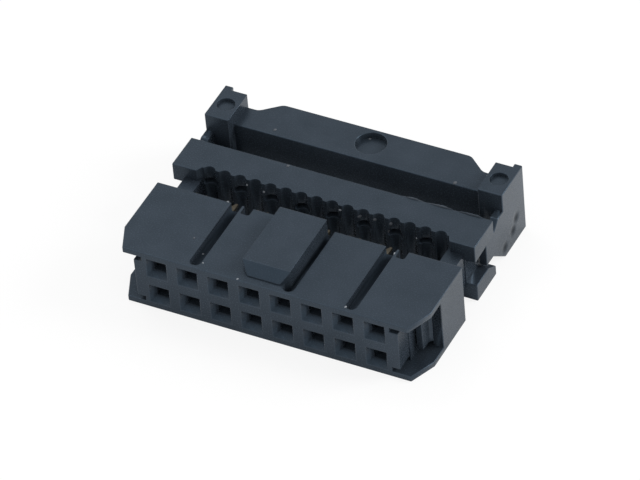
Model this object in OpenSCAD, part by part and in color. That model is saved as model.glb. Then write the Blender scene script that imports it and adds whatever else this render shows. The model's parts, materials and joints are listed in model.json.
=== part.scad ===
// Two-row socket connector for flat ribbon cable, shown open as it is supplied:
// the cover stands off the socket body on its two legs, ready to be pressed down.
// X runs along the rows, +Y from the mating face to the rear, +Z towards the key.
// The origin is the middle of the contact grid, on the mating face. Units are mm.

/* [Contact grid] */
// Contacts in each of the two rows
columns = 8; // [4:1:20]
// Distance between neighbouring contacts, along a row and between the rows
pitch = 2.54; // [2.5:0.01:2.6]
// Width of the square lead-in at the mating face
lead_in_w = 1.7; // [1.3:0.05:1.9]
// Depth of the lead-in's slope
lead_in_d = 0.55; // [0.3:0.05:0.9]
// Width of the square pin hole
pin_hole_w = 0.96; // [0.8:0.02:1.1]
// Depth of the pin hole from the mating face
pin_hole_d = 6.3; // [5:0.1:6.6]

/* [Socket body] */
// Body thickness across the two rows
body_t = 5.3; // [5:0.1:6]
// Body depth from the mating face to the cable face
body_d = 7.4; // [7:0.05:8.5]
// Body past the centre of the last contact, at each end
body_end = 3.61; // [3.55:0.01:4.2]
// Thickness of the two outer plates where they stand clear of the contact block
plate_t = 0.5; // [0.4:0.05:0.6]
// Front corner cut of the plates, along the row
corner_x = 0.9; // [0.5:0.05:1.2]
// Front corner cut of the plates, along the depth
corner_y = 2.1; // [1:0.1:3]
// Contact block past the centre of the last contact, at its front end
block_end = 1.87; // [1.6:0.01:1.9]
// Width of the step in the end of the contact block
block_step = 0.1; // [0.05:0.05:0.2]
// Depth at which that step begins
block_step_y = 1.6; // [1:0.1:2.5]
// Depth at which the contact block narrows to pass the cover's legs
block_neck_y = 3; // [2.7:0.05:3.2]
// Depth of the open recess at each end
recess_d = 3.7; // [3.4:0.05:4.2]
// Length of the slits beside the block's front ends
slit_l = 0.66; // [0.3:0.02:0.8]
// Height of those slits
slit_h = 0.4; // [0.15:0.01:0.45]

/* [Polarising key] */
// Key width
key_w = 3.85; // [3:0.05:4.2]
// Key height above the body
key_h = 1; // [0.6:0.05:1.3]
// Distance of the key's nose from the mating face
key_nose_y = 0.65; // [0.4:0.05:2]
// Cut of the key's two front corners
key_cut = 0.6; // [0.2:0.05:0.9]
// Length of the ramp that leads up to the key's top
key_ramp = 0.65; // [0.3:0.05:1.2]
// Height of the step at the foot of that ramp
key_step = 0.1; // [0.05:0.05:0.4]
// Offset of the key from the middle of the row
key_shift = -0.3; // [-0.5:0.05:0]

/* [Top grooves] */
// Places of the grooves, in contact pitches from the middle of the row
groove_places = [-2.5, 0.5, 2.5];
// Offset of every groove from its contact
groove_shift = 0.48; // [0.4:0.02:0.6]
// Groove width
groove_w = 0.9; // [0.5:0.05:1]
// Distance of the grooves' front ends from the mating face
groove_nose_y = 0.25; // [0.2:0.05:1.5]
// Wall between the grooves and the pin holes below them
groove_wall = 0.12; // [0.1:0.01:0.3]
// Places of the notches in the rear edge, in contact pitches from the middle of the row
edge_notch_places = [-2.5, 2.5];
// Offset of every rear notch from its contact
edge_notch_shift = 1.5; // [1.3:0.05:1.6]
// Width of a rear notch
edge_notch_w = 0.75; // [0.5:0.05:1]
// Length of a rear notch along the depth
edge_notch_l = 0.85; // [0.4:0.05:1]
// Depth of a rear notch below the top face
edge_notch_depth = 0.9; // [0.5:0.05:1]

/* [Cable cover] */
// Open gap between the body's cable face and the cover's end blocks
cover_gap = 2.2; // [2:0.05:2.4]
// Cover depth at its end blocks
cover_d = 3.2; // [2.8:0.05:4]
// Setback of the cover's ends from the body's ends
cover_inset = 0.05; // [0:0.05:0.3]
// Setback of the cable ridges from the end blocks
ridge_setback = 0.5; // [0.3:0.05:0.7]
// Radius of the conductor grooves
cable_groove_r = 0.5; // [0.4:0.01:0.56]
// Depth of the conductor grooves
cable_groove_depth = 0.32; // [0.2:0.01:0.4]
// Height at the front of the side channels that hold the strain relief's arms
channel_h = 2.2; // [1.8:0.05:2.6]
// Rise of the channels' upper side towards the rear
channel_rise = 0.2; // [0.05:0.05:0.3]
// Depth of the side channels
channel_d = 0.85; // [0.7:0.05:0.9]
// Slope at the rear of the lower rail, along the depth
rail_cut_y = 1.2; // [0.8:0.05:1.5]
// Slope at the rear of the lower rail, down the end
rail_cut_z = 0.75; // [0.4:0.05:0.9]

/* [Cover legs] */
// Height of the legs
leg_h = 3.2; // [2.6:0.05:3.6]
// Width of a leg's root
leg_root_w = 1.35; // [1:0.05:1.4]
// Reach of the hook past the leg's outer side
hook_reach = 0.25; // [0.2:0.05:0.35]
// Length of the leg's tip in front of the hook's stop
hook_l = 1.25; // [0.6:0.05:1.4]
// Length of the hook's slope
barb_l = 0.35; // [0.2:0.05:0.4]
// Running clearance of legs and arms in what guides them
slide_clear = 0.1; // [0.05:0.01:0.15]
// Gap left between pieces that come to a stop on each other
stop_clear = 0.05; // [0.03:0.01:0.1]

/* [Strain relief] */
// Gap between the cover and the clamping bar, where the folded cable lies
relief_gap = 2.8; // [2.4:0.05:3.5]
// Depth of the clamping bar
bar_d = 3.35; // [2.8:0.05:3.8]
// Height of the clamping bar above the rest face
bar_h = 5; // [4.5:0.05:5.5]
// Height of the end posts above the rest face
post_h = 6.05; // [5.6:0.05:6.4]
// Depth of the end posts
post_d = 3.25; // [2.6:0.05:3.5]
// Distance of the posts in front of the clamping bar
post_lead = 0.85; // [0.4:0.05:1]
// Length of a post along the row
post_w = 2; // [1.8:0.05:2.5]
// Setback of the strain relief's ends from the body's ends
relief_inset = 0.2; // [0.15:0.05:0.3]
// Thickness of the side plates that carry the arms
side_t = 0.65; // [0.5:0.05:0.65]
// Distance by which a side plate stands behind its post
side_lag = 0.35; // [0.2:0.05:0.7]
// Reach of the arms into the cover's channels
arm_reach = 1.1; // [0.8:0.05:1.5]
// Height of the shoulder above the arm
shoulder_h = 0.65; // [0.4:0.05:0.8]
// Gap between the shoulder and the cover
shoulder_gap = 0.4; // [0.1:0.05:0.5]
// Depth of the notches in the bar's rear edge
notch_d = 1.25; // [0.6:0.05:1.4]
// Length of a notch's floor beside the post
notch_floor = 1; // [0.4:0.05:1.2]
// Length of a notch's slope
notch_slope = 1.5; // [1.2:0.05:2]
// Radius of the bends in that rear edge
notch_r = 0.8; // [0.3:0.05:1]
// Diameter of the round mark on the bar
bar_mark_dia = 2.4; // [1.5:0.05:2.6]
// Distance of the bar's round mark from the rear edge
bar_mark_edge = 0.25; // [0.1:0.05:0.5]
// Offset of the bar's round mark from the middle
bar_mark_shift = 0.2; // [-1:0.05:1]
// Depth of the bar's round mark
bar_mark_depth = 0.5; // [0.1:0.05:0.6]
// Diameter of the round marks on the posts
post_mark_dia = 1.4; // [1:0.05:1.6]
// Depth of the posts' round marks
post_mark_depth = 0.3; // [0.1:0.05:0.6]

/* [Contacts] */
// Thickness of the contact sheet
sheet_t = 0.3; // [0.2:0.01:0.35]
// Width across the two spring tines
tines_w = 1.38; // [1.2:0.02:1.4]
// Gap between the tines where they grip the pin
grip_gap = 0.5; // [0.4:0.02:0.6]
// Gap between the tines at their root
root_gap = 0.76; // [0.6:0.02:0.8]
// Distance of the tines' tips from the mating face
tine_tip_y = 1.3; // [1:0.05:1.5]
// Length of the tines
tine_l = 3.1; // [2.5:0.05:3.4]
// Length of the solid shank behind the tines
shank_l = 1; // [0.8:0.05:1.2]
// Width of the cutting fork
fork_w = 1; // [0.8:0.02:1.06]
// Width of the fork's cutting slot
fork_slot = 0.26; // [0.2:0.01:0.3]
// Depth of the fork's cutting slot
fork_slot_d = 1.5; // [1.2:0.05:1.7]
// Reach of the fork past the body's cable face
fork_reach = 1.2; // [0.8:0.05:1.4]
// Clearance round a contact in its cavity
contact_clear = 0.04; // [0.02:0.01:0.06]

/* [Hidden] */
EPS = 0.01;
$fn = 48;

plastic = "#3E464F";
plastic_light = "#444C55";
tin_bronze = "#C9B98F";

// Places along the row
row_half = (columns - 1) * pitch / 2;
column_x = [for (i = [0:columns - 1]) i * pitch - row_half];
row_z = pitch / 2;
cable_pitch = pitch / 2;
conductor_x = [for (i = [0:2 * columns - 1]) (i - columns + 0.5) * cable_pitch];
body_half = row_half + body_end;
block_half = row_half + block_end;
step_half = block_half + block_step;

// Heights
top_z = body_t / 2;
rest_z = -body_t / 2;
plate_z = top_z - plate_t;

// Cover in its open place
cover_half = body_half - cover_inset;
cover_y = body_d + cover_gap;
cover_rear = cover_y + cover_d;
ridge_y = cover_y + ridge_setback;
press_travel = cover_gap - stop_clear;
channel_x = cover_half - channel_d;
comb_half = columns * cable_pitch;

// Legs, and the passages that guide them
tip_in = step_half + slide_clear;
leg_out = channel_x - slide_clear;
leg_in = leg_out - leg_root_w;
hook_out = leg_out + hook_reach;
neck_half = leg_in - slide_clear;
wall_in = leg_out + slide_clear;
root_y = block_neck_y + press_travel + slide_clear;
hook_y = recess_d - stop_clear;
leg_tip_y = hook_y - hook_l;

// Strain relief, clipped to the cover
relief_half = body_half - relief_inset;
bar_y = cover_rear + relief_gap;
bar_rear = bar_y + bar_d;
post_y = bar_y - post_lead;
post_in = relief_half - post_w;
side_in = relief_half - side_t;
side_rear = post_y + post_d + side_lag;
arm_tip_y = cover_rear - arm_reach;
shoulder_y = cover_rear + shoulder_gap;
post_top = rest_z + post_h;
bar_top = rest_z + bar_h;
notch_y = bar_rear - notch_d;
notch_end = post_in - notch_floor;
mark_y = bar_rear - bar_mark_dia / 2 - bar_mark_edge;

// Contacts
shank_y = tine_tip_y + tine_l;
fork_y = shank_y + shank_l;
fork_tip_y = body_d + fork_reach;
fork_x = cable_pitch / 2;
cavity_half_t = sheet_t / 2 + contact_clear;
slot_floor_y = fork_tip_y + press_travel + slide_clear * 2;

// Grooves of the top face
groove_floor = row_z + pin_hole_w / 2 + groove_wall;
groove_rear = body_d + EPS;

// Height of the side channels' upper side at a depth
function channel_top(y) = channel_h / 2 + channel_rise * (y - cover_y) / cover_d;

function row_name(side) = side > 0 ? "upper" : "lower";
function contact_name(side, i) = str(row_name(side), "_contact_", i + 1);

// Points of an arc about a centre, from one angle to another
function arc(centre, r, from, to, steps = 8) = [
    for (i = [0:steps])
        let (turn = from + (to - from) * i / steps)
            centre + r * [cos(turn), sin(turn)]
];

// Lifts a plan outline between two heights
module slab(low, high) {
    translate([0, 0, low]) linear_extrude(high - low) children();
}

// Turns an outline drawn across the row, in Y and Z, into a solid between two places along the row
module across(from, to) {
    translate([from, 0, 0]) rotate([90, 0, 90]) linear_extrude(to - from) children();
}

// Turns an outline drawn in X and Z into a solid that runs from the front to the rear
module along_depth(from, to) {
    translate([0, to, 0]) rotate([90, 0, 0]) linear_extrude(to - from) children();
}

// Repeats a shape at both ends of the row
module both_ends() {
    children();
    mirror([1, 0, 0]) children();
}

// A plan outline closed by its own mirror image, from points on the +X side
module mirrored_plan(points) {
    polygon(concat(points, [for (i = [len(points) - 1:-1:0]) [-points[i].x, points[i].y]]));
}

// Contact block: stepped at its ends, with a neck that the cover's legs pass
module block_plan() {
    mirrored_plan([
        [block_half, 0], [block_half, block_step_y],
        [step_half, block_step_y], [step_half, block_neck_y],
        [neck_half, block_neck_y], [neck_half, body_d]
    ]);
}

// Outer plates: full length, cut at their front corners
module plate_plan() {
    mirrored_plan([[body_half - corner_x, 0], [body_half, corner_y], [body_half, body_d]]);
}

// Polarising key seen from above
module key_plan() {
    half = key_w / 2;
    translate([key_shift, 0])
        mirrored_plan([[half - key_cut, key_nose_y], [half, key_nose_y + key_cut], [half, body_d]]);
}

// Polarising key: a ramp behind a small step leads up to its flat top
module polarising_key() {
    top = top_z + key_h;
    intersection() {
        slab(groove_floor, top) key_plan();
        across(-key_w, key_w) polygon([
            [key_nose_y, groove_floor], [body_d, groove_floor], [body_d, top],
            [key_nose_y + key_ramp, top], [key_nose_y, top_z + key_step]
        ]);
    }
}

// One groove of the top face: open at the rear, rounded and sloped in front to stay clear of the lead-in
module groove() {
    r = groove_w / 2;
    top = top_z + EPS;
    intersection() {
        slab(groove_floor, top) {
            translate([-r, groove_nose_y + r]) square([groove_w, groove_rear - groove_nose_y - r]);
            translate([0, groove_nose_y + r]) circle(r);
        }
        across(-groove_w, groove_w) polygon([
            [groove_nose_y, top], [groove_nose_y + top - groove_floor, groove_floor],
            [groove_rear, groove_floor], [groove_rear, top]
        ]);
    }
}

// Outline of a sloped lead-in, wide at the mating face
module lead_in_profile(along) {
    wide = lead_in_w / 2;
    narrow = pin_hole_w / 2;
    run_out = (wide - narrow) * EPS / lead_in_d;
    translate([along, 0])
        polygon([[-wide - run_out, -EPS], [wide + run_out, -EPS], [narrow, lead_in_d], [-narrow, lead_in_d]]);
}

// Square lead-ins of every contact: the slopes along the row crossed with those across it
module lead_ins() {
    intersection() {
        slab(rest_z, top_z) for (x = column_x) lead_in_profile(x);
        rotate([0, -90, 0]) slab(-body_half, body_half) for (side = [1, -1]) lead_in_profile(side * row_z);
    }
}

// Square pin holes behind the lead-ins
module pin_holes() {
    along_depth(lead_in_d - EPS, pin_hole_d)
        for (x = column_x) for (side = [1, -1])
            translate([x, side * row_z]) square(pin_hole_w, center = true);
}

// Turns a contact's outline so that its fork leans to the side of its row's conductors
module to_row(side) {
    mirror([side > 0 ? 1 : 0, 0]) children();
}

// Flat cavities, open at the rear, that the contacts are pushed into until their cranks seat
module contact_cavities() {
    half = tines_w / 2 + contact_clear;
    fork_right = fork_x + fork_w / 2 + contact_clear;
    for (side = [1, -1])
        slab(side * row_z - cavity_half_t, side * row_z + cavity_half_t)
            for (x = column_x)
                translate([x, 0]) to_row(side) {
                    translate([-half, tine_tip_y - contact_clear]) square([2 * half, body_d]);
                    translate([-half, shank_y - contact_clear]) square([half + fork_right, body_d]);
                }
}

// Slits between the plates and the front ends of the contact block
module block_slits() {
    for (side = [1, -1])
        translate([block_half - slit_l, -EPS, side > 0 ? plate_z - slit_h : -plate_z])
            cube([slit_l + EPS, block_step_y, slit_h]);
}

// Notches in the rear edge of the top face, with rounded inner corners
module edge_notches() {
    r = edge_notch_w / 4;
    for (place = edge_notch_places)
        translate([place * pitch + edge_notch_shift, body_d - edge_notch_l]) {
            for (side = [1, -1]) translate([side * (edge_notch_w / 2 - r), r]) circle(r);
            translate([r - edge_notch_w / 2, 0]) square([edge_notch_w - 2 * r, edge_notch_l + EPS]);
            translate([-edge_notch_w / 2, r]) square([edge_notch_w, edge_notch_l]);
        }
}

module socket_body() {
    color(plastic) difference() {
        union() {
            difference() {
                union() {
                    slab(rest_z, top_z) block_plan();
                    slab(plate_z, top_z) plate_plan();
                    slab(rest_z, -plate_z) plate_plan();
                    both_ends()
                        translate([wall_in, recess_d, rest_z])
                            cube([body_half - wall_in, body_d - recess_d, body_t]);
                }
                for (place = groove_places) translate([place * pitch + groove_shift, 0, 0]) groove();
            }
            polarising_key();
        }
        lead_ins();
        pin_holes();
        contact_cavities();
        both_ends() block_slits();
        slab(top_z - edge_notch_depth, top_z + EPS) edge_notches();
    }
}

// Cover bar seen from above: end blocks stand in front of the comb of cable grooves
module cover_plan() {
    difference() {
        mirrored_plan([
            [comb_half, ridge_y], [comb_half + ridge_setback / 2, cover_y],
            [cover_half, cover_y], [cover_half, cover_rear]
        ]);
        for (x = conductor_x)
            translate([x, ridge_y + cable_groove_depth - cable_groove_r]) circle(cable_groove_r);
    }
}

// Leg with a narrow tip and an outward hook that holds the open cover behind the body's end wall
module leg_plan() {
    hook_land = barb_l / 4;
    polygon([
        [leg_in, cover_y + ridge_setback], [leg_in, root_y], [tip_in, root_y], [tip_in, leg_tip_y],
        [leg_out, leg_tip_y], [leg_out, hook_y - barb_l], [hook_out, hook_y - hook_land],
        [hook_out, hook_y], [leg_out, hook_y], [leg_out, cover_y + ridge_setback]
    ]);
}

// Side channel of the cover: open at the end, with a sloped lower rail and a rising upper side
module channel_profile() {
    half = channel_h / 2;
    polygon([
        [cover_y - EPS, half], [cover_y - EPS, -half], [cover_rear - rail_cut_y, -half],
        [cover_rear + EPS, -half - rail_cut_z], [cover_rear + EPS, channel_top(cover_rear)]
    ]);
}

// Slots in the cable grooves that take the points of the forks
module fork_slots() {
    width = fork_w + 2 * slide_clear;
    height = sheet_t + 2 * slide_clear;
    for (side = [1, -1])
        for (x = column_x)
            translate([x - side * fork_x - width / 2, cover_y, side * row_z - height / 2])
                cube([width, slot_floor_y - cover_y, height]);
}

module cable_cover() {
    color(plastic_light) difference() {
        union() {
            slab(rest_z, top_z) cover_plan();
            both_ends() slab(-leg_h / 2, leg_h / 2) leg_plan();
        }
        both_ends() across(channel_x, body_half) channel_profile();
        fork_slots();
    }
}

// Clamping bar seen from above: its rear edge drops to a notch beside each post
module bar_plan() {
    turn = atan(notch_d / notch_slope);
    bend = notch_r * tan(turn / 2);
    crest = [notch_end - notch_slope - bend, bar_rear - notch_r];
    floor = [notch_end + bend, notch_y + notch_r];
    mirrored_plan(concat(
        [[post_in + EPS, bar_y], [post_in + EPS, notch_y]],
        arc(floor, notch_r, -90, -90 - turn),
        arc(crest, notch_r, 90 - turn, 90)
    ));
}

// Side plate seen from the end: post flank, shoulder, and the arm before its sloped gusset
module side_profile() {
    arm_low = slide_clear - channel_h / 2;
    arm_top = channel_top(cover_rear) - slide_clear;
    shoulder_top = arm_top + shoulder_h;
    polygon([
        [side_rear, rest_z], [post_y, rest_z], [cover_rear, arm_low], [arm_tip_y, arm_low],
        [arm_tip_y, channel_top(arm_tip_y) - slide_clear], [cover_rear, arm_top], [shoulder_y, arm_top],
        [shoulder_y + shoulder_h, shoulder_top], [post_y, shoulder_top],
        [post_y, post_top], [side_rear, post_top]
    ]);
}

module strain_relief() {
    color(plastic) difference() {
        union() {
            slab(rest_z, bar_top) bar_plan();
            both_ends() {
                translate([post_in, post_y, rest_z]) cube([post_w - EPS, post_d, post_h]);
                across(side_in, relief_half) side_profile();
            }
        }
        translate([bar_mark_shift, mark_y, bar_top - bar_mark_depth])
            cylinder(d = bar_mark_dia, h = bar_mark_depth + EPS);
        both_ends()
            translate([(post_in + relief_half) / 2, post_y + post_d / 2, post_top - post_mark_depth])
                cylinder(d = post_mark_dia, h = post_mark_depth + EPS);
    }
}

// Flat contact: two spring tines grip the pin, a cranked shank ends in the cutting fork
module contact_plan() {
    half = tines_w / 2;
    grip = grip_gap / 2;
    root = root_gap / 2;
    slot = fork_slot / 2;
    mouth = fork_w / 3;
    fork_left = fork_x - fork_w / 2;
    fork_right = fork_x + fork_w / 2;
    grip_y = tine_tip_y + tine_l / 4;
    slot_y = fork_tip_y - fork_slot_d;
    difference() {
        polygon([
            [-half, tine_tip_y], [half, tine_tip_y], [half, shank_y], [fork_right, fork_y],
            [fork_right, fork_tip_y], [fork_left, fork_tip_y], [fork_left, fork_y], [-half, fork_y]
        ]);
        polygon([
            [-root, tine_tip_y - EPS], [-grip, grip_y], [-root, grip_y + tine_l / 4], [-root, shank_y],
            [root, shank_y], [root, grip_y + tine_l / 4], [grip, grip_y], [root, tine_tip_y - EPS]
        ]);
        translate([fork_x, slot_y]) {
            circle(slot);
            translate([-slot, 0]) square([fork_slot, fork_slot_d + EPS]);
            polygon([
                [-slot, fork_slot_d - mouth], [slot, fork_slot_d - mouth],
                [mouth, fork_slot_d + EPS], [-mouth, fork_slot_d + EPS]
            ]);
        }
    }
}

module contact(side, i) {
    color(tin_bronze)
        translate([column_x[i], 0, side * row_z])
            slab(-sheet_t / 2, sheet_t / 2) to_row(side) contact_plan();
}

socket_body();
cable_cover();
strain_relief();
for (side = [1, -1])
    for (i = [0:columns - 1])
        contact(side, i);
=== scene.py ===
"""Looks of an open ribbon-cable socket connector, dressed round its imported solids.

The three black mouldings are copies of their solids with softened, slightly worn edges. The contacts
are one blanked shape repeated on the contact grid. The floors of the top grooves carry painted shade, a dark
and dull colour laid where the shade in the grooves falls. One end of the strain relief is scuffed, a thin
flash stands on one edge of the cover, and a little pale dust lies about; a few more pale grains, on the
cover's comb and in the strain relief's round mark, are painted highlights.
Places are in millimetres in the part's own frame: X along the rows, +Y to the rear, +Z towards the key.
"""

import json
import logging
import math
from dataclasses import dataclass
from enum import Enum
from typing import Any

import bmesh
import bpy
from mathutils import Matrix, Vector

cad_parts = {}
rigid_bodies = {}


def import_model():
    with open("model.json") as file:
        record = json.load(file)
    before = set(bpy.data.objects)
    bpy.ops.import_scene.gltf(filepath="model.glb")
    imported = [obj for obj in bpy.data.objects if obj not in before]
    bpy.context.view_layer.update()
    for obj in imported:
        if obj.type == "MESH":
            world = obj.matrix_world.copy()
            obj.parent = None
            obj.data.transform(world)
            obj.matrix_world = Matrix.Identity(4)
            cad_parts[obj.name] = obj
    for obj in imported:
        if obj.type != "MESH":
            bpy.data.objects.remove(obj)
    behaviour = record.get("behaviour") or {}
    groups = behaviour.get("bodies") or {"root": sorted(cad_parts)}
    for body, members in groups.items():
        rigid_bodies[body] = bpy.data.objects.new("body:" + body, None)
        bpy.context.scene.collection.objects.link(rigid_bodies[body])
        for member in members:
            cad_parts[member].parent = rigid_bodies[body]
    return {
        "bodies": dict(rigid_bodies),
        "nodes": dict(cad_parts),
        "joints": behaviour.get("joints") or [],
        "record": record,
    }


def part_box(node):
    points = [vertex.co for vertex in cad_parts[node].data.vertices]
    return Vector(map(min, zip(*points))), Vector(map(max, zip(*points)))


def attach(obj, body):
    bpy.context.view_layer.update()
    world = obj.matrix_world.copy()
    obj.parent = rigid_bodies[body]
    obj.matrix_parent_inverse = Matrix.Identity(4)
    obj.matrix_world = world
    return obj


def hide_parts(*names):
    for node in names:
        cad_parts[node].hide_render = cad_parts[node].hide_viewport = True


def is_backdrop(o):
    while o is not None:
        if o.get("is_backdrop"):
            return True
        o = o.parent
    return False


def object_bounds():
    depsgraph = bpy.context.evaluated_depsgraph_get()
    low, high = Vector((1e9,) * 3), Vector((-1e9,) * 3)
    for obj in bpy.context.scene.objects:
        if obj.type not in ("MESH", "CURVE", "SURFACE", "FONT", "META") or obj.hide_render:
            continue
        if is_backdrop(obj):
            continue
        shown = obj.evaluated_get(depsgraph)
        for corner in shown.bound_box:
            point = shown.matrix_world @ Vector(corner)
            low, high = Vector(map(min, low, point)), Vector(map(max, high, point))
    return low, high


LOG = logging.getLogger("ribbon_socket")
MM = 0.001
# Band that holds nearly all values of a noise texture, and its middle
NOISE_LOW = 0.3
NOISE_MIDDLE = 0.5
NOISE_HIGH = 0.7
# Material numbers that tell a moulding's own faces from those of its rounded edges until the wear is marked
PLAIN_FACE = 0
ROUNDED_FACE = 1
# Shader strength at which a background shows as white
WHITE = 1.0

Point = tuple[float, float, float]
# Place of a pale grain, then its width: most grains are dust, a few are painted highlights
Grain = tuple[float, float, float, float]

MOULDING_EDGE_MM = 0.07
RELIEF_EDGE_MM = 0.08
# Painted shade: middles and reach of dark, dull ellipsoids laid on the floors of the socket's three top
# grooves, where the shade inside the grooves falls
GROOVE_PAINTED_SHADE_MM: tuple[Point, ...] = ((-5.87, 6.2, 1.87), (1.75, 6.2, 1.87), (6.83, 6.2, 1.87))
GROOVE_PAINTED_SHADE_REACH_MM: Point = (1.6, 6.0, 0.75)
RELIEF_SCUFFS_MM: tuple[Point, ...] = ((12.3, 16.78, -0.44), (12.3, 16.16, -1.22), (12.3, 14.7, -1.69))
SOCKET_DUST_MM: tuple[Grain, ...] = (
    (-2.15, 0.13, 2.65, 0.2), (6.48, 0.4, 2.65, 0.22), (-6.17, 2.32, 1.87, 0.18),
    (-5.28, 0.72, 2.65, 0.16), (-6.62, 7.4, 2.65, 0.26), (7.16, 6.89, 2.65, 0.24))
SOCKET_HAZE_MM: tuple[Grain, ...] = ((-7.13, 2.89, 2.65, 0.2),)
COVER_DUST_MM: tuple[Grain, ...] = (
    (-6.46, 10.1, 2.09, 0.2), (-5.07, 10.1, 1.86, 0.24), (1.24, 10.1, 2.18, 0.26), (7.33, 10.1, 1.46, 0.24))
# Pale grains on the cover: the first is dust on the top; the four on the comb are painted highlights,
# standing for the light on the comb's curved walls
COVER_DUST_AND_PAINTED_HIGHLIGHTS_MM: tuple[Grain, ...] = (
    (-4.25, 12.59, 2.65, 0.3), (2.76, 10.22, 1.98, 0.36), (4.0, 10.22, 2.1, 0.34),
    (5.32, 10.24, 2.08, 0.36), (5.24, 10.2, 1.3, 0.3))
# Pale grains on the strain relief: the first two are dust; the last, in the round mark, is a painted
# highlight on the mark's wall
RELIEF_DUST_AND_PAINTED_HIGHLIGHT_MM: tuple[Grain, ...] = (
    (7.94, 15.79, 2.35, 0.36), (-7.15, 16.16, 2.35, 0.3), (-0.35, 18.38, 1.85, 0.24))


class Body(Enum):
    """Bodies of the part that move against each other."""

    SOCKET = "socket"
    COVER = "cover"


class Slot(Enum):
    """Material slots of the part's record."""

    SOCKET = "socket_plastic"
    COVER = "cover_plastic"
    RELIEF = "relief_plastic"
    CONTACT = "contact_metal"


def linear(hex_colour: str) -> tuple[float, float, float, float]:
    """Turns an sRGB hex colour into a linear one.

    Args:
        hex_colour: Colour written as #RRGGBB.

    Returns:
        Linear red, green and blue, and an alpha of one.
    """
    channels = [int(hex_colour[i:i + 2], 16) / 255 for i in (1, 3, 5)]
    # The two pieces of the sRGB curve: a straight foot and a power above it
    red, green, blue = (c / 12.92 if c <= 0.04045 else ((c + 0.055) / 1.055) ** 2.4 for c in channels)
    return red, green, blue, 1.0


def add_node(tree: bpy.types.NodeTree, kind: str, inputs: dict[Any, Any] | None = None,
             **settings: Any) -> bpy.types.Node:
    """Adds a node, applies its settings and fills its inputs.

    Args:
        tree: Node tree that gets the node.
        kind: Blender's name of the node type.
        inputs: Input name or number to a value, or to the output socket that is linked to it.
        **settings: Attributes of the node.

    Returns:
        The new node.
    """
    node = tree.nodes.new(kind)
    for name, value in settings.items():
        setattr(node, name, value)
    for name, value in (inputs or {}).items():
        if isinstance(value, bpy.types.NodeSocket):
            tree.links.new(value, node.inputs[name])
        else:
            node.inputs[name].default_value = value
    return node


def pattern_scale(feature_mm: float) -> float:
    """Gives the texture scale at which one feature of a pattern has that size in millimetres."""
    return 1 / (feature_mm * MM)


def new_material(name: str) -> bpy.types.Material:
    """Makes an empty node material.

    Args:
        name: Name of the material.

    Returns:
        The material, with no nodes.
    """
    material = bpy.data.materials.new(name)
    material.use_nodes = True
    material.node_tree.nodes.clear()
    return material


def new_piece(name: str, mesh: bpy.types.Mesh) -> bpy.types.Object:
    """Puts a mesh into the scene.

    Args:
        name: Name of the piece.
        mesh: Its mesh, with its place in the mesh.

    Returns:
        The new object at the origin.
    """
    piece = bpy.data.objects.new(name, mesh)
    bpy.context.scene.collection.objects.link(piece)
    return piece


def apply_modifiers(piece: bpy.types.Object) -> None:
    """Turns what a piece's modifiers make into its plain mesh.

    Args:
        piece: Piece whose modifiers are applied and removed.
    """
    bpy.context.view_layer.update()
    bare = piece.data
    ready = bpy.data.meshes.new_from_object(piece.evaluated_get(bpy.context.evaluated_depsgraph_get()))
    piece.modifiers.clear()
    piece.data = ready
    ready.name = piece.name
    bpy.data.meshes.remove(bare)


def new_tree(name: str, inputs: dict[str, str]) -> bpy.types.NodeTree:
    """Makes an empty geometry node tree.

    Args:
        name: Name of the tree.
        inputs: Name of each input to its socket type, after the geometry that goes in.

    Returns:
        The tree, with its inputs and its geometry output.
    """
    tree = bpy.data.node_groups.new(name, "GeometryNodeTree")
    tree.interface.new_socket(name="Geometry", in_out="OUTPUT", socket_type="NodeSocketGeometry")
    tree.interface.new_socket(name="Geometry", in_out="INPUT", socket_type="NodeSocketGeometry")
    for label, kind in inputs.items():
        tree.interface.new_socket(name=label, in_out="INPUT", socket_type=kind)
    return tree


def grow(piece: bpy.types.Object, tree: bpy.types.NodeTree, values: dict[str, Any]) -> None:
    """Runs a geometry node tree on a piece and keeps the plain mesh that it makes.

    Args:
        piece: Piece whose mesh goes into the tree.
        tree: The tree.
        values: Name of each input to its value.
    """
    modifier = piece.modifiers.new(tree.name, "NODES")
    modifier.node_group = tree
    for socket in tree.interface.items_tree:
        if socket.in_out == "INPUT" and socket.name in values:
            modifier[socket.identifier] = values[socket.name]
    apply_modifiers(piece)


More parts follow.
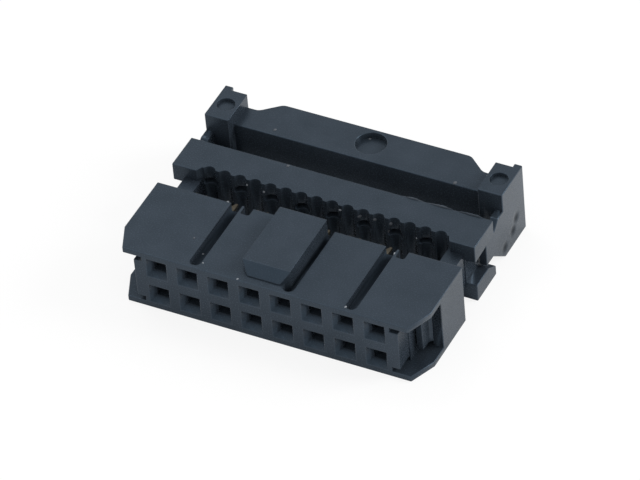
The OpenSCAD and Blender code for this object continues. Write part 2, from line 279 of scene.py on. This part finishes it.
@dataclass(frozen=True)
class MouldedPolyester:
    """Black glass-filled polyester, moulded in a spark-eroded tool.

    It looks satin: a nearly black body under a broad, cool reflection, with a fine eroded grain, slow waves
    left by shrinkage and slightly paler edges. Where spots are given it has darker, duller places, which are
    real scuffs on the strain relief and painted shade on the floors of the socket's grooves.
    """

    name: str
    body_hex: str = "#252C33"
    pale_hex: str = "#2D343C"
    edge_hex: str = "#363D45"
    reflection_hex: str = "#B6DCFF"
    ior: float = 1.39
    roughness: float = 0.25
    roughness_swing: float = 0.06
    flow_mm: float = 2.4
    flow_detail: float = 4.0
    flow_fineness: float = 0.6
    wave_depth_mm: float = 0.006
    grain_mm: float = 0.11
    grain_detail: float = 3.0
    grain_fineness: float = 0.65
    grain_depth_mm: float = 0.006
    # Spots darken and dull the surface: on the strain relief they are scuffs, on the socket's groove floors
    # they are painted shade
    scuffs_and_painted_shade_mm: tuple[Point, ...] = ()
    spot_reach_mm: Point = (0.7, 0.7, 0.7)
    spot_depth_mm: float = 0.05
    scuff_and_shade_hex: str = "#050607"
    spot_roughness: float = 0.6

    def material(self) -> bpy.types.Material:
        """Builds the node material.

        Returns:
            The material, which reads the edge_wear attribute of the mesh.
        """
        material = new_material(self.name)
        tree = material.node_tree
        place = add_node(tree, "ShaderNodeTexCoord").outputs["Object"]
        # Slow clouds and waves left by the flow and shrinkage of the melt
        flow = add_node(tree, "ShaderNodeTexNoise", {
            "Vector": place, "Scale": pattern_scale(self.flow_mm), "Detail": self.flow_detail,
            "Roughness": self.flow_fineness}).outputs["Fac"]
        # Spark-eroded grain is typically a few hundredths of a millimetre, so it is drawn coarser to show
        grain = add_node(tree, "ShaderNodeTexNoise", {
            "Vector": place, "Scale": pattern_scale(self.grain_mm), "Detail": self.grain_detail,
            "Roughness": self.grain_fineness}).outputs["Fac"]
        cloud = add_node(tree, "ShaderNodeMapRange", {
            "Value": flow, "From Min": NOISE_LOW, "From Max": NOISE_HIGH})
        skin = add_node(tree, "ShaderNodeMix", {
            "Factor": cloud.outputs["Result"], "A": linear(self.body_hex), "B": linear(self.pale_hex)},
            data_type="RGBA")
        wear = add_node(tree, "ShaderNodeAttribute", attribute_name="edge_wear")
        worn = add_node(tree, "ShaderNodeMix", {
            "Factor": wear.outputs["Fac"], "A": skin.outputs["Result"], "B": linear(self.edge_hex)},
            data_type="RGBA")
        gloss = add_node(tree, "ShaderNodeMapRange", {
            "Value": grain, "From Min": NOISE_LOW, "From Max": NOISE_HIGH,
            "To Min": self.roughness - self.roughness_swing,
            "To Max": self.roughness + self.roughness_swing})
        waves = add_node(tree, "ShaderNodeMath", {0: flow, 1: self.wave_depth_mm * MM}, operation="MULTIPLY")
        rough = add_node(tree, "ShaderNodeMath", {
            0: grain, 1: self.grain_depth_mm * MM, 2: waves.outputs[0]}, operation="MULTIPLY_ADD")
        colour, dullness, height = worn.outputs["Result"], gloss.outputs["Result"], rough.outputs[0]
        # Darker, duller spots: scuffs on the strain relief, painted shade on the floors of the socket's
        # grooves
        if self.scuffs_and_painted_shade_mm:
            scuff_and_shade_mask = self.scuff_and_shade_mask(tree, place)
            colour = add_node(tree, "ShaderNodeMix", {
                "Factor": scuff_and_shade_mask, "A": colour, "B": linear(self.scuff_and_shade_hex)},
                data_type="RGBA").outputs["Result"]
            dullness = add_node(tree, "ShaderNodeMix", {
                "Factor": scuff_and_shade_mask, "A": dullness, "B": self.spot_roughness}).outputs["Result"]
            height = add_node(tree, "ShaderNodeMath", {
                0: scuff_and_shade_mask, 1: -self.spot_depth_mm * MM, 2: height}, operation="MULTIPLY_ADD").outputs[0]
        relief = add_node(tree, "ShaderNodeBump", {"Height": height, "Distance": 1.0})
        shader = add_node(tree, "ShaderNodeBsdfPrincipled", {
            "Base Color": colour, "Roughness": dullness, "Normal": relief.outputs["Normal"],
            "IOR": self.ior, "Specular Tint": linear(self.reflection_hex)})
        add_node(tree, "ShaderNodeOutputMaterial", {"Surface": shader.outputs["BSDF"]})
        return material

    def scuff_and_shade_mask(self, tree: bpy.types.NodeTree, place: bpy.types.NodeSocket) -> bpy.types.NodeSocket:
        """Marks the dark, dull spots: scuffs, and painted shade on the floors of grooves.

        Args:
            tree: Tree of the material.
            place: Object coordinates.

        Returns:
            A value that is one in the middle of each spot and zero away from all of them.
        """
        spots: list[bpy.types.NodeSocket] = []
        for middle in self.scuffs_and_painted_shade_mm:
            offset = add_node(tree, "ShaderNodeMapping", {
                "Vector": place, "Location": Vector(middle) * MM, "Scale": Vector(self.spot_reach_mm) * MM},
                vector_type="TEXTURE")
            away = add_node(tree, "ShaderNodeVectorMath", {0: offset.outputs[0]}, operation="LENGTH")
            spots.append(add_node(tree, "ShaderNodeMapRange", {
                "Value": away.outputs["Value"], "To Min": 1.0, "To Max": 0.0},
                interpolation_type="SMOOTHSTEP").outputs["Result"])
        total = spots[0]
        for spot in spots[1:]:
            total = add_node(tree, "ShaderNodeMath", {0: total, 1: spot}, operation="MAXIMUM").outputs[0]
        return total


@dataclass(frozen=True)
class TinnedBronze:
    """Phosphor bronze strip, blanked and tin plated: a warm grey metal with a soft, uneven shine."""

    name: str
    plate_hex: str = "#5C584F"
    tarnish_hex: str = "#3F3B33"
    roughness: float = 0.5
    roughness_swing: float = 0.1
    patch_mm: float = 0.5
    patch_detail: float = 3.0

    def material(self) -> bpy.types.Material:
        """Builds the node material.

        Returns:
            The material, with patches of tarnish that also dull it.
        """
        material = new_material(self.name)
        tree = material.node_tree
        place = add_node(tree, "ShaderNodeTexCoord").outputs["Object"]
        patches = add_node(tree, "ShaderNodeTexNoise", {
            "Vector": place, "Scale": pattern_scale(self.patch_mm), "Detail": self.patch_detail})
        plate = add_node(tree, "ShaderNodeMix", {
            "Factor": patches.outputs["Fac"], "A": linear(self.plate_hex), "B": linear(self.tarnish_hex)},
            data_type="RGBA")
        gloss = add_node(tree, "ShaderNodeMapRange", {
            "Value": patches.outputs["Fac"], "To Min": self.roughness - self.roughness_swing,
            "To Max": self.roughness + self.roughness_swing})
        shader = add_node(tree, "ShaderNodeBsdfPrincipled", {
            "Base Color": plate.outputs["Result"], "Roughness": gloss.outputs["Result"], "Metallic": 1.0})
        add_node(tree, "ShaderNodeOutputMaterial", {"Surface": shader.outputs["BSDF"]})
        return material


@dataclass(frozen=True)
class DustAndHighlightFinish:
    """Grains of carton dust: pale grey, matt and faintly fibrous; the same finish also colours a few pale
    grains that are painted highlights.
    """

    name: str
    pale_hex: str = "#9BA0A6"
    grey_hex: str = "#6A6F76"
    roughness: float = 0.9
    fibre_mm: float = 0.06
    fibre_detail: float = 2.0

    def material(self) -> bpy.types.Material:
        """Builds the node material.

        Returns:
            The material, with a fine change of tone.
        """
        material = new_material(self.name)
        tree = material.node_tree
        place = add_node(tree, "ShaderNodeTexCoord").outputs["Object"]
        fibres = add_node(tree, "ShaderNodeTexNoise", {
            "Vector": place, "Scale": pattern_scale(self.fibre_mm), "Detail": self.fibre_detail})
        tone = add_node(tree, "ShaderNodeMix", {
            "Factor": fibres.outputs["Fac"], "A": linear(self.grey_hex), "B": linear(self.pale_hex)},
            data_type="RGBA")
        shader = add_node(tree, "ShaderNodeBsdfPrincipled", {
            "Base Color": tone.outputs["Result"], "Roughness": self.roughness})
        add_node(tree, "ShaderNodeOutputMaterial", {"Surface": shader.outputs["BSDF"]})
        return material


@dataclass(frozen=True)
class WhitePaper:
    """White paper under the part: matt, nearly white, and it keeps the part's shadow."""

    name: str
    paper_hex: str = "#F7F7F7"
    seen_white: float = 0.85
    mirrored_white: float = 0.15

    def material(self) -> bpy.types.Material:
        """Builds the node material.

        Returns:
            The material, which the camera and mirrors see partly as plain white.
        """
        material = new_material(self.name)
        tree = material.node_tree
        path = add_node(tree, "ShaderNodeLightPath").outputs
        seen = add_node(tree, "ShaderNodeMath", {
            0: path["Is Camera Ray"], 1: self.seen_white}, operation="MULTIPLY")
        mirrored = add_node(tree, "ShaderNodeMath", {
            0: path["Is Glossy Ray"], 1: path["Is Transmission Ray"]}, operation="MAXIMUM")
        white_share = add_node(tree, "ShaderNodeMath", {
            0: mirrored.outputs[0], 1: self.mirrored_white, 2: seen.outputs[0]}, operation="MULTIPLY_ADD")
        paper = add_node(tree, "ShaderNodeBsdfDiffuse", {"Color": linear(self.paper_hex)})
        white = add_node(tree, "ShaderNodeEmission", {"Strength": WHITE})
        sweep = add_node(tree, "ShaderNodeMixShader", {
            0: white_share.outputs[0], 1: paper.outputs[0], 2: white.outputs[0]})
        add_node(tree, "ShaderNodeOutputMaterial", {"Surface": sweep.outputs[0]})
        return material


@dataclass
class EdgeSoftener:
    """Rounds the outer edges of a solid, each as far as the faces beside it allow."""

    radius_mm: float
    segments: int = 2
    sharp_deg: float = 28.0
    straight_deg: float = 30.0
    share_of_face: float = 0.42
    merge_mm: float = 0.001
    flat_deg: float = 0.4

    def room(self, edge: bmesh.types.BMEdge) -> float:
        """Measures how far an edge may be rounded.

        Args:
            edge: Edge of the merged solid.

        Returns:
            The largest radius in metres for which the edges that meet this one are long enough, or zero
            beside a triangle.
        """
        if any(len(face.verts) == 3 for face in edge.link_faces):
            return 0.0
        along = (edge.verts[1].co - edge.verts[0].co).normalized()
        least = min(self.radius_mm * MM, edge.calc_length() * self.share_of_face)
        for other in {side for vert in edge.verts for side in vert.link_edges} - {edge}:
            span = other.verts[1].co - other.verts[0].co
            across = span.cross(along).length
            straight = across < span.length * math.sin(math.radians(self.straight_deg))
            least = min(least, (span.length if straight else across) * self.share_of_face)
        return least

    def prepare(self, source: bpy.types.Mesh) -> bpy.types.Mesh:
        """Merges a copy of a solid's mesh, weighs its outer edges and keeps its inner ones sharp.

        Args:
            source: Mesh of loose triangles.

        Returns:
            A new mesh of whole faces, with a bevel weight on each edge that is to be rounded.
        """
        solid = bmesh.new()
        solid.from_mesh(source)
        bmesh.ops.remove_doubles(solid, verts=solid.verts[:], dist=self.merge_mm * MM)
        bmesh.ops.dissolve_limit(solid, angle_limit=math.radians(self.flat_deg), verts=solid.verts[:],
                                 edges=solid.edges[:])
        weights = solid.edges.layers.float.new("bevel_weight_edge")
        for edge in solid.edges:
            if edge.calc_face_angle(0.0) > math.radians(self.sharp_deg):
                if edge.is_convex:
                    edge[weights] = self.room(edge) / (self.radius_mm * MM)
                edge.smooth = edge[weights] > 0
        mesh = bpy.data.meshes.new("softened")
        solid.to_mesh(mesh)
        solid.free()
        return mesh

    def soften(self, source: bpy.types.Mesh, name: str) -> bpy.types.Object:
        """Makes a softened copy of a solid.

        Args:
            source: Mesh of loose triangles.
            name: Name of the new piece.

        Returns:
            A new object at the origin, with an edge_wear attribute that is one along the middle of each
            rounded edge.
        """
        piece = new_piece(name, self.prepare(source))
        for _ in (PLAIN_FACE, ROUNDED_FACE):
            piece.data.materials.append(None)
        for polygon in piece.data.polygons:
            polygon.use_smooth = True
        bevel = piece.modifiers.new("edges", "BEVEL")
        bevel.limit_method = "WEIGHT"
        bevel.width = self.radius_mm * MM
        bevel.segments = self.segments
        bevel.use_clamp_overlap = False
        bevel.material = ROUNDED_FACE
        shade = piece.modifiers.new("shading", "WEIGHTED_NORMAL")
        shade.keep_sharp = True
        apply_modifiers(piece)
        self.mark_wear(piece.data)
        return piece

    @staticmethod
    def mark_wear(mesh: bpy.types.Mesh) -> None:
        """Writes the edge_wear attribute from the faces that the rounding made, and frees their number.

        Args:
            mesh: Rounded mesh whose new faces have the material number of rounded edges.
        """
        inside = [True] * len(mesh.vertices)
        for polygon in mesh.polygons:
            if polygon.material_index == PLAIN_FACE:
                for vertex in polygon.vertices:
                    inside[vertex] = False
            polygon.material_index = PLAIN_FACE
        wear = mesh.attributes.new("edge_wear", "FLOAT", "POINT")
        wear.data.foreach_set("value", [float(found) for found in inside])
        mesh.materials.clear()


@dataclass
class Moulding:
    """A moulded piece that stands for one solid of the part."""

    node: str
    body: Body
    slot: Slot
    finish: MouldedPolyester
    edge_radius_mm: float

    def build(self, frame: dict[str, Any]) -> bpy.types.Object:
        """Builds and dresses the piece.

        Args:
            frame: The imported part, as loaded.

        Returns:
            The finished piece.
        """
        softener = EdgeSoftener(self.edge_radius_mm)
        piece = softener.soften(frame["nodes"][self.node].data, f"{self.node}_moulding")
        piece.data.materials.append(self.finish.material())
        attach(piece, self.body.value)
        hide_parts(self.node)
        return piece


@dataclass
class ContactRows:
    """Two rows of one blanked contact; the lower row is the upper one turned over."""

    finish: TinnedBronze
    edge_radius_mm: float = 0.03

    def tree(self) -> bpy.types.NodeTree:
        """Builds the tree that repeats the contact along both rows.

        Returns:
            The tree, which takes one contact that stands in the middle of the grid.
        """
        tree = new_tree("contact rows", {
            "Columns": "NodeSocketInt", "Pitch": "NodeSocketFloat", "Finish": "NodeSocketMaterial"})
        given = add_node(tree, "NodeGroupInput").outputs
        gaps = add_node(tree, "ShaderNodeMath", {0: given["Columns"], 1: 1.0}, operation="SUBTRACT")
        length = add_node(tree, "ShaderNodeMath", {
            0: gaps.outputs[0], 1: given["Pitch"]}, operation="MULTIPLY")
        start = add_node(tree, "ShaderNodeMath", {0: length.outputs[0], 1: -0.5}, operation="MULTIPLY")
        step = add_node(tree, "ShaderNodeCombineXYZ", {"X": given["Pitch"]})
        rows = add_node(tree, "GeometryNodeJoinGeometry")
        for side, turn in ((0.5, 0.0), (-0.5, math.pi)):
            rise = add_node(tree, "ShaderNodeMath", {0: given["Pitch"], 1: side}, operation="MULTIPLY")
            corner = add_node(tree, "ShaderNodeCombineXYZ", {"X": start.outputs[0], "Z": rise.outputs[0]})
            places = add_node(tree, "GeometryNodeMeshLine", {
                "Count": given["Columns"], "Start Location": corner.outputs[0], "Offset": step.outputs[0]})
            row = add_node(tree, "GeometryNodeInstanceOnPoints", {
                "Points": places.outputs[0], "Instance": given["Geometry"], "Rotation": (0.0, turn, 0.0)})
            tree.links.new(row.outputs[0], rows.inputs[0])
        real = add_node(tree, "GeometryNodeRealizeInstances", {0: rows.outputs[0]})
        dressed = add_node(tree, "GeometryNodeSetMaterial", {
            "Geometry": real.outputs[0], "Material": given["Finish"]})
        add_node(tree, "NodeGroupOutput", {0: dressed.outputs[0]})
        return tree

    def build(self, frame: dict[str, Any]) -> bpy.types.Object:
        """Builds both rows from the first contact.

        Args:
            frame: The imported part, as loaded.

        Returns:
            One piece that stands for every contact.
        """
        names = [name for name in frame["nodes"] if "_contact_" in name]
        columns = len(names) // 2
        low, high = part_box("upper_contact_1")
        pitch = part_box("upper_contact_2")[0].x - low.x
        softener = EdgeSoftener(self.edge_radius_mm)
        piece = softener.soften(frame["nodes"]["upper_contact_1"].data, "contact_rows")
        piece.data.transform(Matrix.Translation(((columns - 1) * pitch / 2, 0, -(low.z + high.z) / 2)))
        grow(piece, self.tree(), {"Columns": columns, "Pitch": pitch, "Finish": self.finish.material()})
        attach(piece, Body.SOCKET.value)
        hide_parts(*names)
        return piece


@dataclass
class DustAndHighlightGrains:
    """Pale grains that lie on one moulding: dust, and in a few places painted highlights."""

    name: str
    host: bpy.types.Object
    body: Body
    slot: Slot
    finish: DustAndHighlightFinish
    grains_mm: tuple[Grain, ...]
    proportions: Point = (1.0, 0.75, 0.5)
    lumps: float = 0.45
    lump_scale: float = 3.0
    subdivisions: int = 2
    seed: int = 7

    def tree(self) -> bpy.types.NodeTree:
        """Builds the tree that sets a lumpy grain on the surface nearest to each place.

        Returns:
            The tree, which takes points with a width in their across attribute.
        """
        tree = new_tree("dust grains", {
            "Surface": "NodeSocketObject", "Lumps": "NodeSocketFloat", "Seed": "NodeSocketInt",
            "Finish": "NodeSocketMaterial"})
        given = add_node(tree, "NodeGroupInput").outputs
        place = add_node(tree, "GeometryNodeInputPosition").outputs[0]
        surface = add_node(tree, "GeometryNodeObjectInfo", {"Object": given["Surface"]}).outputs["Geometry"]
        nearest = add_node(tree, "GeometryNodeProximity", {0: surface}, target_element="FACES")
        upright = add_node(tree, "GeometryNodeSampleNearestSurface", {
            "Mesh": surface, "Value": add_node(tree, "GeometryNodeInputNormal").outputs[0]},
            data_type="FLOAT_VECTOR")
        seated = add_node(tree, "GeometryNodeSetPosition", {
            "Geometry": given["Geometry"], "Position": nearest.outputs["Position"]})
        # One lumpy ball of unit width serves for every grain
        ball = add_node(tree, "GeometryNodeMeshIcoSphere", {
            "Radius": 0.5, "Subdivisions": self.subdivisions})
        lump = add_node(tree, "ShaderNodeTexNoise", {"Vector": place, "Scale": self.lump_scale})
        push = add_node(tree, "ShaderNodeMath", {
            0: lump.outputs["Fac"], 1: NOISE_MIDDLE}, operation="SUBTRACT")
        depth = add_node(tree, "ShaderNodeMath", {
            0: push.outputs[0], 1: given["Lumps"]}, operation="MULTIPLY")
        swell = add_node(tree, "ShaderNodeVectorMath", {
            0: place, "Scale": depth.outputs[0]}, operation="SCALE")
        grain = add_node(tree, "GeometryNodeSetPosition", {
            "Geometry": ball.outputs[0], "Offset": swell.outputs[0]})
        spin = add_node(tree, "FunctionNodeRandomValue", {
            "Max": (0.0, 0.0, 2 * math.pi), "Seed": given["Seed"]}, data_type="FLOAT_VECTOR")
        lie = add_node(tree, "FunctionNodeAlignRotationToVector", {
            "Rotation": spin.outputs[0], "Vector": upright.outputs["Value"]}, axis="Z")
        across = add_node(tree, "GeometryNodeInputNamedAttribute", {"Name": "across"}, data_type="FLOAT")
        size = add_node(tree, "ShaderNodeVectorMath", {
            0: self.proportions, "Scale": across.outputs[0]}, operation="SCALE")
        grains = add_node(tree, "GeometryNodeInstanceOnPoints", {
            "Points": seated.outputs[0], "Instance": grain.outputs[0], "Rotation": lie.outputs[0],
            "Scale": size.outputs[0]})
        real = add_node(tree, "GeometryNodeRealizeInstances", {0: grains.outputs[0]})
        smooth = add_node(tree, "GeometryNodeSetShadeSmooth", {0: real.outputs[0]})
        dressed = add_node(tree, "GeometryNodeSetMaterial", {
            "Geometry": smooth.outputs[0], "Material": given["Finish"]})
        add_node(tree, "NodeGroupOutput", {0: dressed.outputs[0]})
        return tree

    def build(self) -> bpy.types.Object:
        """Builds and dresses the grains.

        Returns:
            The finished piece.
        """
        mesh = bpy.data.meshes.new(self.name)
        mesh.from_pydata([Vector(grain[:3]) * MM for grain in self.grains_mm], [], [])
        across = mesh.attributes.new("across", "FLOAT", "POINT")
        across.data.foreach_set("value", [grain[3] * MM for grain in self.grains_mm])
        piece = new_piece(self.name, mesh)
        grow(piece, self.tree(), {
            "Surface": self.host, "Lumps": self.lumps, "Seed": self.seed, "Finish": self.finish.material()})
        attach(piece, self.body.value)
        return piece


@dataclass
class EdgeFlash:
    """Thin ragged fin of plastic that the mould left along one edge of the cover."""

    finish: MouldedPolyester
    length_mm: float = 8.4
    end_inset_mm: float = 0.08
    inset_mm: float = 0.04
    height_mm: float = 0.2
    thickness_mm: float = 0.05
    ripple_mm: float = 1.38
    ripple_detail: float = 3.0
    ripple_low: float = 0.42
    ripple_high: float = 0.66
    least_share: float = 0.05
    points: int = 128
    ring_points: int = 8

    def tree(self) -> bpy.types.NodeTree:
        """Builds the tree that runs a fin of changing height along a line.

        Returns:
            The tree, which makes its own line and takes no geometry.
        """
        tree = new_tree("edge flash", {
            "Start": "NodeSocketVector", "End": "NodeSocketVector", "Points": "NodeSocketInt",
            "Height": "NodeSocketFloat", "Thickness": "NodeSocketFloat", "Ripple": "NodeSocketFloat",
            "Finish": "NodeSocketMaterial"})
        given = add_node(tree, "NodeGroupInput").outputs
        edge = add_node(tree, "GeometryNodeCurvePrimitiveLine", {
            "Start": given["Start"], "End": given["End"]})
        steps = add_node(tree, "GeometryNodeResampleCurve", {
            "Curve": edge.outputs[0], "Count": given["Points"]})
        place = add_node(tree, "GeometryNodeInputPosition").outputs[0]
        ragged = add_node(tree, "ShaderNodeTexNoise", {
            "Vector": place, "Scale": given["Ripple"], "Detail": self.ripple_detail})
        share = add_node(tree, "ShaderNodeMapRange", {
            "Value": ragged.outputs["Fac"], "From Min": self.ripple_low, "From Max": self.ripple_high,
            "To Min": self.least_share})
        upright = add_node(tree, "GeometryNodeSetCurveNormal", {"Curve": steps.outputs[0]}, mode="Z_UP")
        ring = add_node(tree, "GeometryNodeCurvePrimitiveCircle", {
            "Resolution": self.ring_points, "Radius": 1.0})
        section = add_node(tree, "ShaderNodeCombineXYZ", {
            "X": given["Thickness"], "Y": given["Height"], "Z": 1.0})
        blade = add_node(tree, "GeometryNodeTransform", {
            "Geometry": ring.outputs[0], "Scale": section.outputs[0]})
        fin = add_node(tree, "GeometryNodeCurveToMesh", {
            "Curve": upright.outputs[0], "Profile Curve": blade.outputs[0],
            "Scale": share.outputs["Result"], "Fill Caps": True})
        real = add_node(tree, "GeometryNodeRealizeInstances", {0: fin.outputs[0]})
        dressed = add_node(tree, "GeometryNodeSetMaterial", {
            "Geometry": real.outputs[0], "Material": given["Finish"]})
        add_node(tree, "NodeGroupOutput", {0: dressed.outputs[0]})
        return tree

    def build(self) -> bpy.types.Object:
        """Builds the fin on the rear top edge of the cover, at its +X end.

        Returns:
            The finished piece.
        """
        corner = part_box("cable_cover")[1]
        end = corner - Vector((self.end_inset_mm, self.inset_mm, self.inset_mm)) * MM
        start = end - Vector((self.length_mm * MM, 0, 0))
        piece = new_piece("cover_edge_flash", bpy.data.meshes.new("cover_edge_flash"))
        grow(piece, self.tree(), {
            "Start": start, "End": end, "Points": self.points, "Height": self.height_mm * MM,
            "Thickness": self.thickness_mm * MM / 2, "Ripple": pattern_scale(self.ripple_mm),
            "Finish": self.finish.material()})
        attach(piece, Body.COVER.value)
        return piece


@dataclass(frozen=True)
class SoftLamp:
    """Large round lamp that faces the part."""

    name: str
    watts: float
    place_mm: Point
    size_mm: float = 300.0

    def hang(self) -> None:
        """Hangs the lamp and turns it to the origin."""
        lamp = bpy.data.lights.new(self.name, "AREA")
        lamp.shape = "DISK"
        lamp.size = self.size_mm * MM
        lamp.energy = self.watts
        stand = bpy.data.objects.new(self.name, lamp)
        stand.location = Vector(self.place_mm) * MM
        stand.rotation_mode = "QUATERNION"
        stand.rotation_quaternion = stand.location.to_track_quat("Z", "Y")
        bpy.context.scene.collection.objects.link(stand)


@dataclass
class Studio:
    """White paper floor, soft light and the camera."""

    azimuth_deg: float = 29.904
    elevation_deg: float = 42.118
    roll_deg: float = -5.394
    distance_mm: float = 427.6
    aim_mm: Point = (0.339, 8.311, 0.402)
    focal_px: float = 5803.0
    image_width_px: int = 640
    sensor_mm: float = 36.0
    near_mm: float = 10.0
    far_mm: float = 10000.0
    floor_mm: float = 3000.0
    floor_gap_mm: float = 0.01
    floor_finish: WhitePaper = WhitePaper("white paper sweep")
    world_hex: str = "#FFFFFF"
    world_strength: float = 0.8
    lamps: tuple[SoftLamp, ...] = (
        SoftLamp("key", 0.7, (-350.0, 250.0, 600.0)), SoftLamp("side fill", 2.0, (450.0, 250.0, 300.0)),
        SoftLamp("front fill", 0.12, (-220.0, -500.0, 240.0)))

    def camera(self) -> None:
        """Places the camera that was fitted to the photograph."""
        azimuth = math.radians(self.azimuth_deg)
        elevation = math.radians(self.elevation_deg)
        roll = math.radians(self.roll_deg)
        back = Vector((math.sin(azimuth) * math.cos(elevation), -math.cos(azimuth) * math.cos(elevation),
                       math.sin(elevation)))
        level = Vector((math.cos(azimuth), math.sin(azimuth), 0))
        upright = back.cross(level)
        right = level * math.cos(roll) + upright * math.sin(roll)
        up = upright * math.cos(roll) - level * math.sin(roll)
        data = bpy.data.cameras.new("camera")
        data.sensor_width = self.sensor_mm
        data.lens = self.focal_px / self.image_width_px * self.sensor_mm
        data.clip_start = self.near_mm * MM
        data.clip_end = self.far_mm * MM
        camera = bpy.data.objects.new("camera", data)
        turn = Matrix((right, up, back)).transposed().to_4x4()
        stand = Vector(self.aim_mm) * MM + back * self.distance_mm * MM
        camera.matrix_world = Matrix.Translation(stand) @ turn
        bpy.context.scene.collection.objects.link(camera)
        bpy.context.scene.camera = camera

    def floor(self, rest_z: float) -> None:
        """Lays the pale floor.

        Args:
            rest_z: Height of the face that the part lies on.
        """
        half = self.floor_mm * MM / 2
        height = rest_z - self.floor_gap_mm * MM
        plan = ((-half, -half), (half, -half), (half, half), (-half, half))
        mesh = bpy.data.meshes.new("floor")
        mesh.from_pydata([(x, y, height) for x, y in plan], [], [(0, 1, 2, 3)])
        mesh.materials.append(self.floor_finish.material())
        floor = new_piece("floor", mesh)
        floor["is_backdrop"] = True

    def light(self) -> None:
        """Sets the even room light and the large soft lamps."""
        world = bpy.data.worlds.new("studio")
        world.use_nodes = True
        tree = world.node_tree
        tree.nodes.clear()
        path = add_node(tree, "ShaderNodeLightPath").outputs
        room = add_node(tree, "ShaderNodeBackground", {
            "Color": linear(self.world_hex), "Strength": self.world_strength})
        white = add_node(tree, "ShaderNodeBackground", {"Color": linear(self.world_hex), "Strength": WHITE})
        shown = add_node(tree, "ShaderNodeMixShader", {
            0: path["Is Camera Ray"], 1: room.outputs[0], 2: white.outputs[0]})
        add_node(tree, "ShaderNodeOutputWorld", {"Surface": shown.outputs[0]})
        bpy.context.scene.world = world
        for lamp in self.lamps:
            lamp.hang()

    def build(self, rest_z: float) -> None:
        """Builds the studio.

        Args:
            rest_z: Height of the face that the part lies on.
        """
        bpy.context.scene.view_settings.view_transform = "Standard"
        self.camera()
        self.floor(rest_z)
        self.light()


def main() -> None:
    """Builds every piece, then the studio."""
    logging.basicConfig(level=logging.INFO, format="%(name)s: %(message)s")
    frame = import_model()
    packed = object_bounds()
    plastic = MouldedPolyester("moulded black polyester")
    # Painted shade: the groove floors get a dark, dull colour that stands for the shade inside the deep
    # grooves
    grooves_with_painted_shade = MouldedPolyester(
        "black polyester with dull grooves", scuffs_and_painted_shade_mm=GROOVE_PAINTED_SHADE_MM, spot_reach_mm=GROOVE_PAINTED_SHADE_REACH_MM,
        spot_depth_mm=0.0, scuff_and_shade_hex="#10141A", spot_roughness=0.9)
    scuffed = MouldedPolyester("scuffed black polyester", scuffs_and_painted_shade_mm=RELIEF_SCUFFS_MM)
    torn = MouldedPolyester("torn polyester flash", body_hex="#3C4249", pale_hex="#6E747C")
    dust = DustAndHighlightFinish("carton dust")
    # Fainter pale grains: dust, and on the cover's comb and in the strain relief's round mark painted
    # highlights
    faint_dust_and_highlights = DustAndHighlightFinish("thin carton dust", pale_hex="#5E636A", grey_hex="#3E4349")
    socket = Moulding("socket_body", Body.SOCKET, Slot.SOCKET, grooves_with_painted_shade, MOULDING_EDGE_MM).build(frame)
    cover = Moulding("cable_cover", Body.COVER, Slot.COVER, plastic, MOULDING_EDGE_MM).build(frame)
    relief = Moulding("strain_relief", Body.COVER, Slot.RELIEF, scuffed, RELIEF_EDGE_MM).build(frame)
    contacts = ContactRows(TinnedBronze("tinned bronze strip")).build(frame)
    flash = EdgeFlash(torn).build()
    grains = [
        DustAndHighlightGrains("socket_dust", socket, Body.SOCKET, Slot.SOCKET, dust, SOCKET_DUST_MM),
        DustAndHighlightGrains("socket_haze", socket, Body.SOCKET, Slot.SOCKET, faint_dust_and_highlights, SOCKET_HAZE_MM),
        DustAndHighlightGrains("cover_dust", cover, Body.COVER, Slot.COVER, dust, COVER_DUST_MM),
        DustAndHighlightGrains("cover_haze", cover, Body.COVER, Slot.COVER, faint_dust_and_highlights, COVER_DUST_AND_PAINTED_HIGHLIGHTS_MM),
        DustAndHighlightGrains("relief_haze", relief, Body.COVER, Slot.RELIEF, faint_dust_and_highlights, RELIEF_DUST_AND_PAINTED_HIGHLIGHT_MM),
    ]
    for piece in [socket, cover, relief, contacts, flash] + [grain.build() for grain in grains]:
        LOG.info("%s: %d faces", piece.name, len(piece.data.polygons))
    Studio().build(packed[0].z)


if __name__ == "__main__":
    main()
